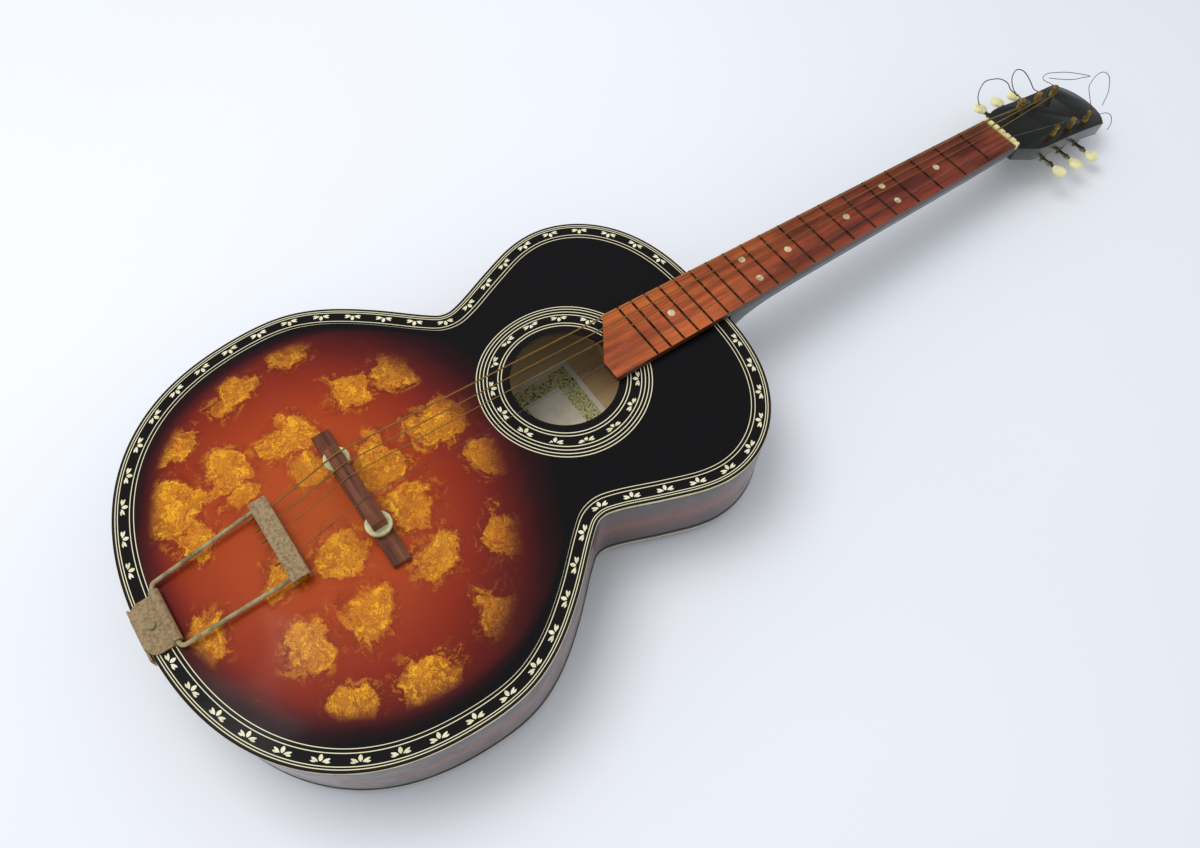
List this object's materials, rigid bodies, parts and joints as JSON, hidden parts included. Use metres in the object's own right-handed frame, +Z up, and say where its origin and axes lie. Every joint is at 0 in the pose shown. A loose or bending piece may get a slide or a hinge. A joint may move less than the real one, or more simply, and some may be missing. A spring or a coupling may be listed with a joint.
{
  "type": "archtop guitar",
  "caption": "Archtop guitar lying on its back: arched body with a round sound hole, floating bridge with thumbwheels, trapeze tailpiece, and geared tuners with cream buttons",
  "frame": {"origin": "centre of the bounding box in X and Y, at the level of the back's crown on which the guitar lies", "axes": "+Y from the tail towards the headstock, +X towards the treble side, +Z up out of the top"},
  "size_m": [0.3616, 0.9866, 0.1146],
  "materials": {
    "top_wood": "gloss varnish, sunburst",
    "back_wood": "gloss varnish",
    "rib_wood": "gloss varnish",
    "inner_wood": "bare wood",
    "binding_cream": "aged cream",
    "neck_black": "black gloss lacquer",
    "board_wood": "worn rosewood with metal frets",
    "nut_bone": "bone",
    "label_paper": "paper",
    "bridge_wood": "oiled rosewood",
    "steel": "aged, mottled nickel plate",
    "wheel_ivory": "aged ivory plastic",
    "string_wire": "wound string wire",
    "post_brass": "dull brass",
    "button_cream": "aged cream plastic"
  },
  "bodies": {
    "guitar": {"top_plate": "top_wood", "back_plate": "back_wood", "rib_bass": "rib_wood", "rib_treble": "rib_wood", "top_lining_bass": "inner_wood", "top_lining_treble": "inner_wood", "back_lining_bass": "inner_wood", "back_lining_treble": "inner_wood", "top_binding": "binding_cream", "back_binding": "binding_cream", "top_brace_1": "inner_wood", "top_brace_2": "inner_wood", "top_brace_3": "inner_wood", "back_brace_1": "inner_wood", "back_brace_2": "inner_wood", "back_brace_3": "inner_wood", "neck_block": "inner_wood", "end_block": "inner_wood", "neck": "neck_black", "fingerboard": "board_wood", "board_support": "neck_black", "nut": "nut_bone", "label": "label_paper", "bridge_base": "bridge_wood", "bridge_post_bass": "steel", "bridge_post_treble": "steel", "tail_bracket": "steel", "bracket_rivet": "steel", "tail_screw": "steel", "machine_plate_bass": "steel", "machine_plate_treble": "steel", "string_low_e": "string_wire", "string_a": "string_wire", "string_d": "string_wire", "string_b": "steel"},
    "saddle": {"saddle": "bridge_wood"},
    "wheel_bass": {"thumbwheel_bass": "wheel_ivory"},
    "wheel_treble": {"thumbwheel_treble": "wheel_ivory"},
    "tailpiece": {"trapeze_wire": "steel", "anchor_bar": "steel"},
    "tuner_1": {"worm_shaft_1": "steel", "tuner_button_1": "button_cream"},
    "post_1": {"string_post_1": "post_brass"},
    "tuner_2": {"worm_shaft_2": "steel", "tuner_button_2": "button_cream"},
    "post_2": {"string_post_2": "post_brass"},
    "tuner_3": {"worm_shaft_3": "steel", "tuner_button_3": "button_cream"},
    "post_3": {"string_post_3": "post_brass"},
    "tuner_4": {"worm_shaft_4": "steel", "tuner_button_4": "button_cream"},
    "post_4": {"string_post_4": "post_brass"},
    "tuner_5": {"worm_shaft_5": "steel", "tuner_button_5": "button_cream"},
    "post_5": {"string_post_5": "post_brass"},
    "tuner_6": {"worm_shaft_6": "steel", "tuner_button_6": "button_cream"},
    "post_6": {"string_post_6": "post_brass"}
  },
  "joints": [
    {"name": "saddle_height", "type": "slide", "parent": "guitar", "child": "saddle", "axis": [0, 0, 1], "range_m": [-0.0024, 0.0032], "deforming": ["string_low_e", "string_a", "string_d", "string_b"]},
    {"name": "wheel_bass_turn", "type": "hinge", "parent": "saddle", "child": "wheel_bass", "pos_m": [-0.03, -0.32425, 0.0993], "axis": [0, 0, 1], "range_deg": [-1080, 1440]},
    {"name": "wheel_treble_turn", "type": "hinge", "parent": "saddle", "child": "wheel_treble", "pos_m": [0.03, -0.32425, 0.0993], "axis": [0, 0, 1], "range_deg": [-1080, 1440]},
    {"name": "tailpiece_swing", "type": "hinge", "parent": "guitar", "child": "tailpiece", "pos_m": [0, -0.46975, 0.0851], "axis": [1, 0, 0], "range_deg": [-1, 1.3], "deforming": ["string_low_e", "string_a", "string_d", "string_b"]},
    {"name": "tuner_1_turn", "type": "hinge", "parent": "guitar", "child": "tuner_1", "pos_m": [-0.0215, 0.39103, 0.02983], "axis": [1, 0, 0], "continuous": true},
    {"name": "post_1_turn", "type": "hinge", "parent": "guitar", "child": "post_1", "pos_m": [-0.0215, 0.40433, 0.04571], "axis": [0, 0.2079, 0.9781], "continuous": true},
    {"name": "tuner_2_turn", "type": "hinge", "parent": "guitar", "child": "tuner_2", "pos_m": [-0.0215, 0.41891, 0.0239], "axis": [1, 0, 0], "continuous": true},
    {"name": "post_2_turn", "type": "hinge", "parent": "guitar", "child": "post_2", "pos_m": [-0.0215, 0.4322, 0.03979], "axis": [0, 0.2079, 0.9781], "continuous": true},
    {"name": "tuner_3_turn", "type": "hinge", "parent": "guitar", "child": "tuner_3", "pos_m": [-0.0215, 0.44679, 0.01798], "axis": [1, 0, 0], "continuous": true},
    {"name": "post_3_turn", "type": "hinge", "parent": "guitar", "child": "post_3", "pos_m": [-0.0215, 0.46008, 0.03386], "axis": [0, 0.2079, 0.9781], "continuous": true},
    {"name": "tuner_4_turn", "type": "hinge", "parent": "guitar", "child": "tuner_4", "pos_m": [0.0215, 0.44679, 0.01798], "axis": [1, 0, 0], "continuous": true},
    {"name": "post_4_turn", "type": "hinge", "parent": "guitar", "child": "post_4", "pos_m": [0.0215, 0.46008, 0.03386], "axis": [0, 0.2079, 0.9781], "continuous": true},
    {"name": "tuner_5_turn", "type": "hinge", "parent": "guitar", "child": "tuner_5", "pos_m": [0.0215, 0.41891, 0.0239], "axis": [1, 0, 0], "continuous": true},
    {"name": "post_5_turn", "type": "hinge", "parent": "guitar", "child": "post_5", "pos_m": [0.0215, 0.4322, 0.03979], "axis": [0, 0.2079, 0.9781], "continuous": true},
    {"name": "tuner_6_turn", "type": "hinge", "parent": "guitar", "child": "tuner_6", "pos_m": [0.0215, 0.39103, 0.02983], "axis": [1, 0, 0], "continuous": true},
    {"name": "post_6_turn", "type": "hinge", "parent": "guitar", "child": "post_6", "pos_m": [0.0215, 0.40433, 0.04571], "axis": [0, 0.2079, 0.9781], "continuous": true}
  ],
  "couplings": [
    {"joint": "saddle_height", "follows": "wheel_bass_turn", "m_per_rad": 0.00012732},
    {"joint": "wheel_treble_turn", "follows": "wheel_bass_turn", "ratio": 1},
    {"joint": "tailpiece_swing", "follows": "wheel_bass_turn", "ratio": 0.00086},
    {"joint": "post_1_turn", "follows": "tuner_1_turn", "ratio": -0.071429},
    {"joint": "post_2_turn", "follows": "tuner_2_turn", "ratio": -0.071429},
    {"joint": "post_3_turn", "follows": "tuner_3_turn", "ratio": -0.071429},
    {"joint": "post_4_turn", "follows": "tuner_4_turn", "ratio": -0.071429},
    {"joint": "post_5_turn", "follows": "tuner_5_turn", "ratio": -0.071429},
    {"joint": "post_6_turn", "follows": "tuner_6_turn", "ratio": -0.071429}
  ]
}
